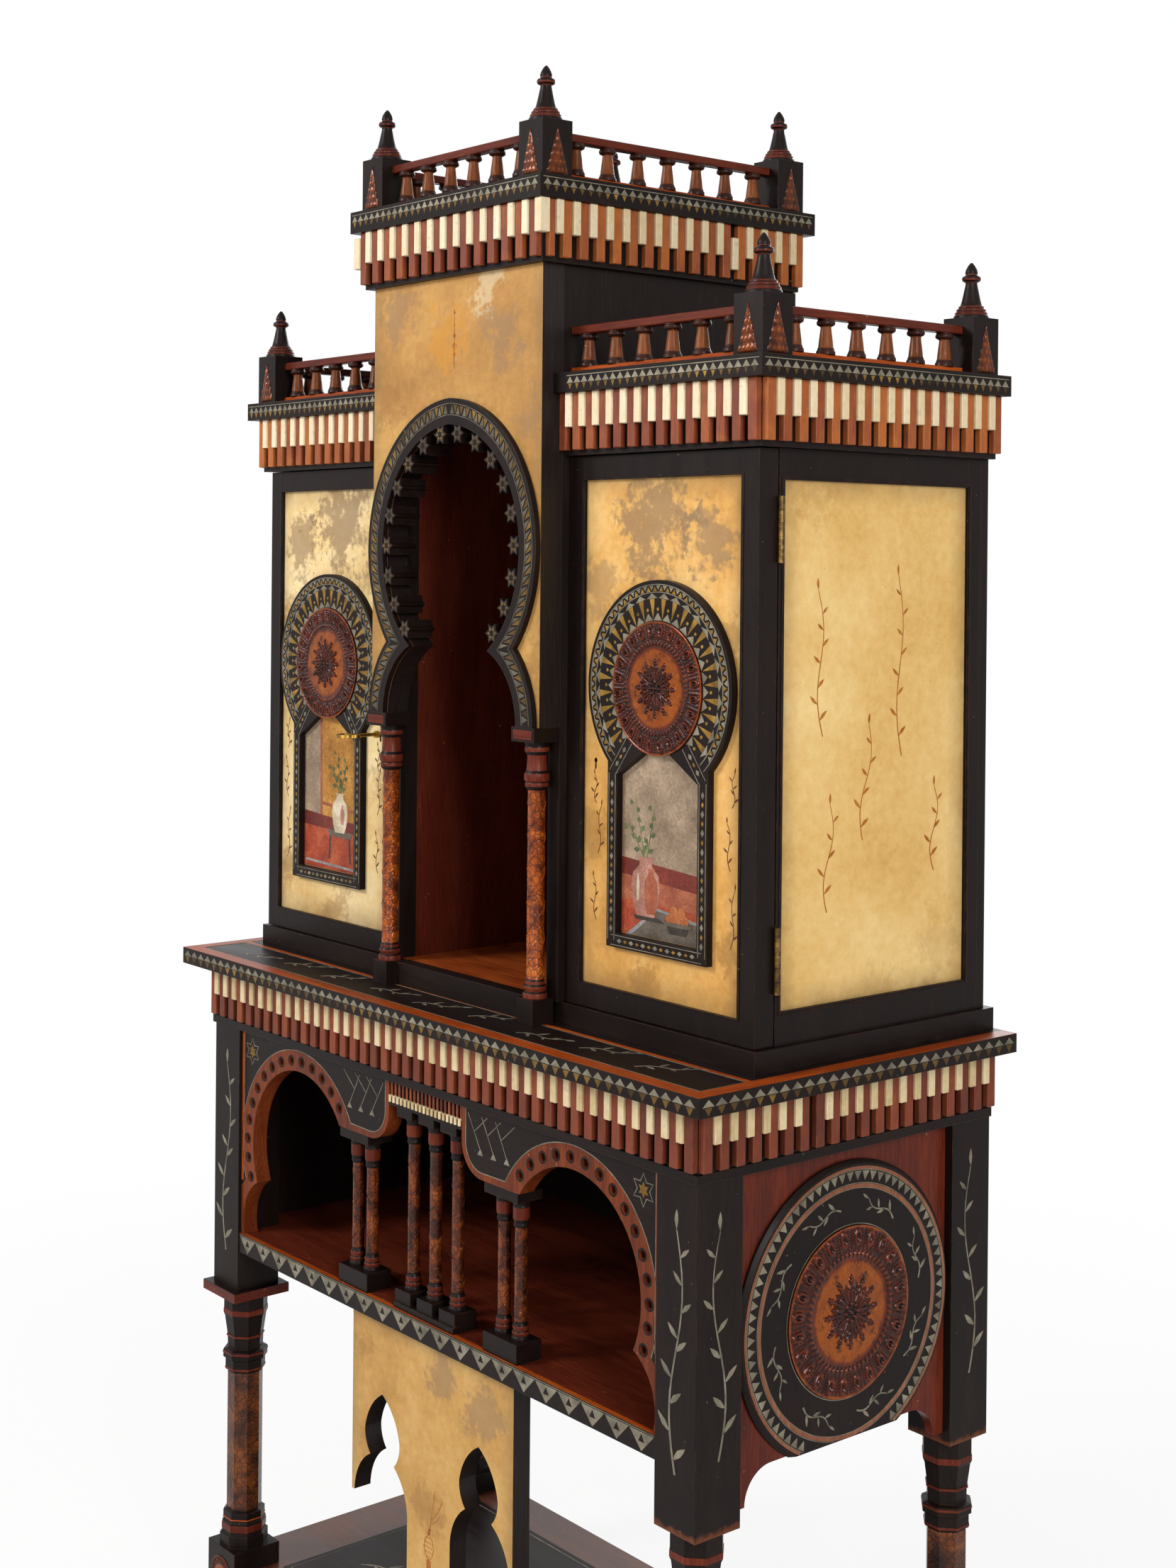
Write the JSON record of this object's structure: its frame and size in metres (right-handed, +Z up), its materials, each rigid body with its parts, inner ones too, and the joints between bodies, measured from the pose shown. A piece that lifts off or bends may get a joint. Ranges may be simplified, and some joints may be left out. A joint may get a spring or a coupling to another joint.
{
  "type": "inlaid cabinet",
  "caption": "Tall ebonised cabinet on an arcaded stand, with a towered niche, hinged cupboard doors with locks, billet cornices and baluster galleries.",
  "frame": {"origin": "on the floor under the middle of the table top", "axes": "+Z up, -Y out of the doors, +X to the right as seen from the front"},
  "size_m": [1, 0.4646, 1.9465],
  "materials": {
    "ebonised_wood": "ebonised and waxed",
    "mahogany": "french polished",
    "red_stained_wood": "stained",
    "cream_bone": "painted satin",
    "vellum": "stretched and varnished",
    "copper": "embossed and patinated",
    "brass": "aged",
    "iron": "blackened",
    "pewter": "inlaid and dulled"
  },
  "bodies": {
    "cabinet": {"arcade_left": "ebonised_wood", "arcade_lintel": "ebonised_wood", "arcade_right": "ebonised_wood", "arch_band_left": "mahogany", "arch_band_right": "mahogany", "arch_stars": "ebonised_wood", "balusters": "mahogany", "cabinet_back": "mahogany", "cabinet_floors": "mahogany", "cabinet_plinth": "ebonised_wood", "carcase_tops": "mahogany", "colonnette_blocks": "ebonised_wood", "colonnettes": "copper", "column_blocks": "ebonised_wood", "corner_posts": "ebonised_wood", "cornice_friezes": "ebonised_wood", "cornice_slabs": "ebonised_wood", "cream_billets": "cream_bone", "finials": "ebonised_wood", "frieze_rails": "ebonised_wood", "gallery_posts": "ebonised_wood", "gallery_rails": "mahogany", "hinge_leaves": "brass", "lower_shelf": "mahogany", "niche_arch": "ebonised_wood", "niche_columns": "copper", "partition_left": "ebonised_wood", "partition_right": "ebonised_wood", "platform_board": "ebonised_wood", "post_collars": "ebonised_wood", "red_billets": "red_stained_wood", "shelf_fascia": "ebonised_wood", "side_bosses": "copper", "side_discs": "ebonised_wood", "side_frame_left": "ebonised_wood", "side_frame_right": "ebonised_wood", "side_panels": "vellum", "stand_back": "ebonised_wood", "stand_side_left": "mahogany", "stand_side_right": "mahogany", "support_panel": "vellum", "table_top": "ebonised_wood", "tower_front": "vellum", "turned_legs": "ebonised_wood"},
    "door_left": {"door_frame_left": "ebonised_wood", "door_panel_left": "vellum", "door_surround_left": "ebonised_wood", "door_boss_left": "copper", "door_lock_left": "iron", "door_hinges_left": "brass"},
    "bolt_left": {"lock_bolt_left": "iron"},
    "door_right": {"door_frame_right": "ebonised_wood", "door_panel_right": "vellum", "door_surround_right": "ebonised_wood", "door_boss_right": "copper", "door_lock_right": "iron", "door_hinges_right": "brass"},
    "bolt_right": {"lock_bolt_right": "iron"},
    "key": {"key": "brass"}
  },
  "joints": [
    {"name": "door_left_swing", "type": "hinge", "parent": "cabinet", "child": "door_left", "pos_m": [-0.4678, -0.099, 1.225], "axis": [0, 0, -1], "range_deg": [0, 110]},
    {"name": "door_right_swing", "type": "hinge", "parent": "cabinet", "child": "door_right", "pos_m": [0.4678, -0.099, 1.225], "axis": [0, 0, 1], "range_deg": [0, 110]},
    {"name": "key_turn", "type": "hinge", "parent": "door_left", "child": "key", "pos_m": [-0.209, -0.122, 1.192], "axis": [0, -1, 0], "range_deg": [0, 180]},
    {"name": "bolt_left_throw", "type": "slide", "parent": "door_left", "child": "bolt_left", "axis": [1, 0, 0], "range_m": [0, 0.009]},
    {"name": "bolt_right_throw", "type": "slide", "parent": "door_right", "child": "bolt_right", "axis": [-1, 0, 0], "range_m": [0, 0.009]}
  ],
  "couplings": [
    {"joint": "bolt_left_throw", "follows": "key_turn", "m_per_rad": 0.0028647}
  ]
}
